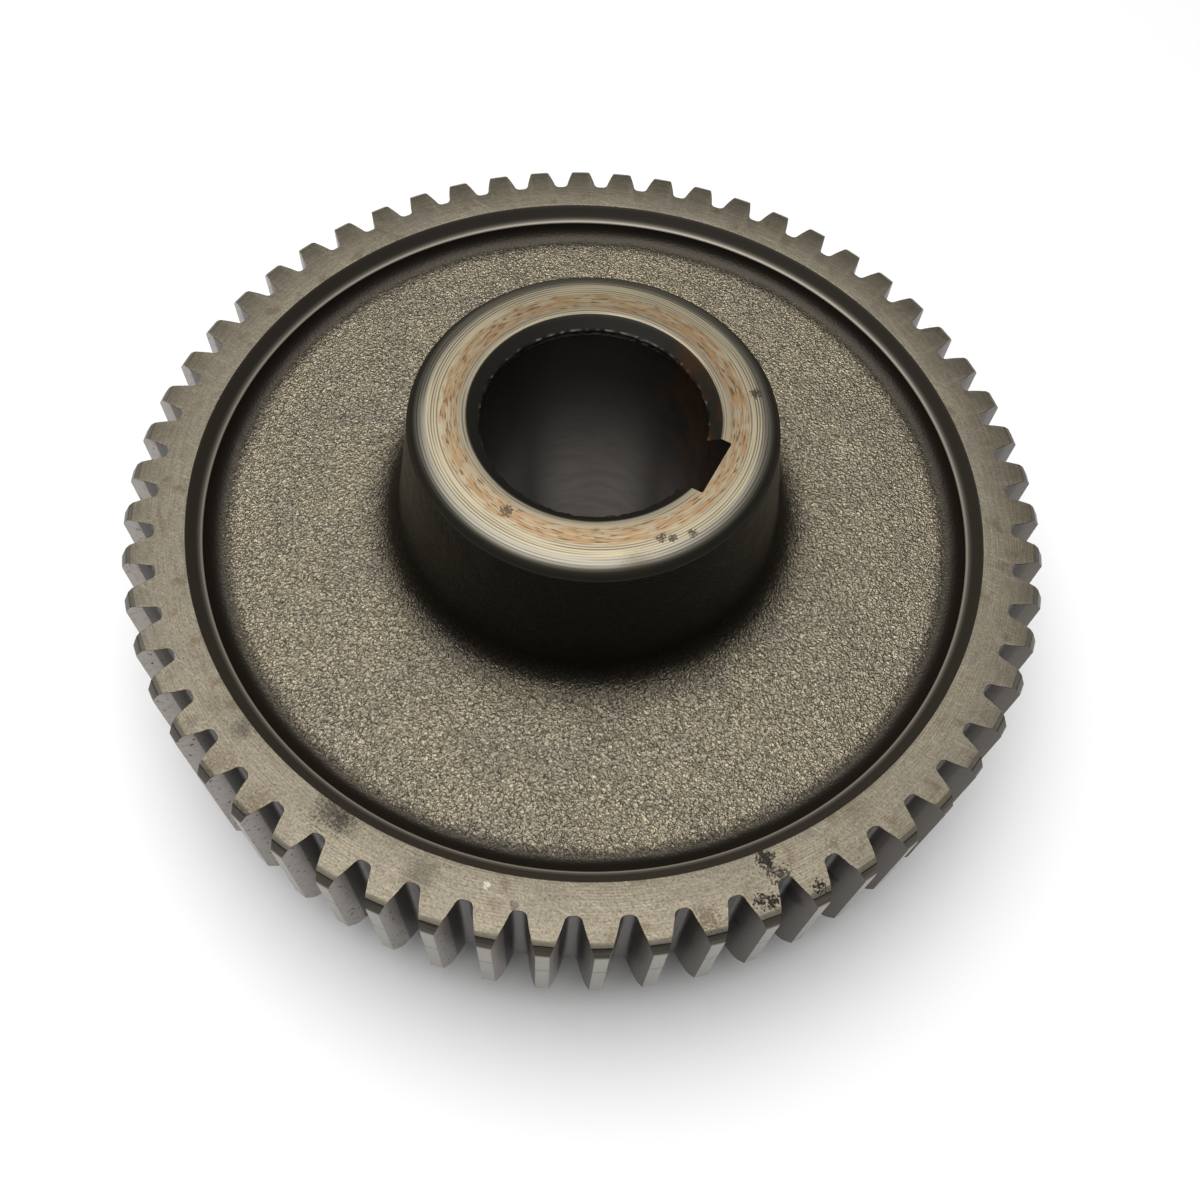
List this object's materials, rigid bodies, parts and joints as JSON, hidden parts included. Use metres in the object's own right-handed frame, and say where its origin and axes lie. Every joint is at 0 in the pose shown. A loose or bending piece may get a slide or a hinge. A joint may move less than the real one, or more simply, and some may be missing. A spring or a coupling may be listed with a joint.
{
  "type": "gear wheel",
  "caption": "Steel spur gear wheel with straight teeth, a recessed forged web, a long tapered hub on one side, a short boss on the other and a bore with a keyway.",
  "frame": {"origin": "on the axis, at the lower end face of the boss that the wheel stands on", "axes": "+Z along the axis towards the long hub, +X through the middle of the keyway"},
  "size_m": [0.18, 0.18, 0.0706],
  "materials": {
    "forged_steel": "dark forged web, machined rim and hub end, worn and lightly stained"
  },
  "bodies": {
    "root": {"gear_wheel": "forged_steel"}
  },
  "joints": []
}
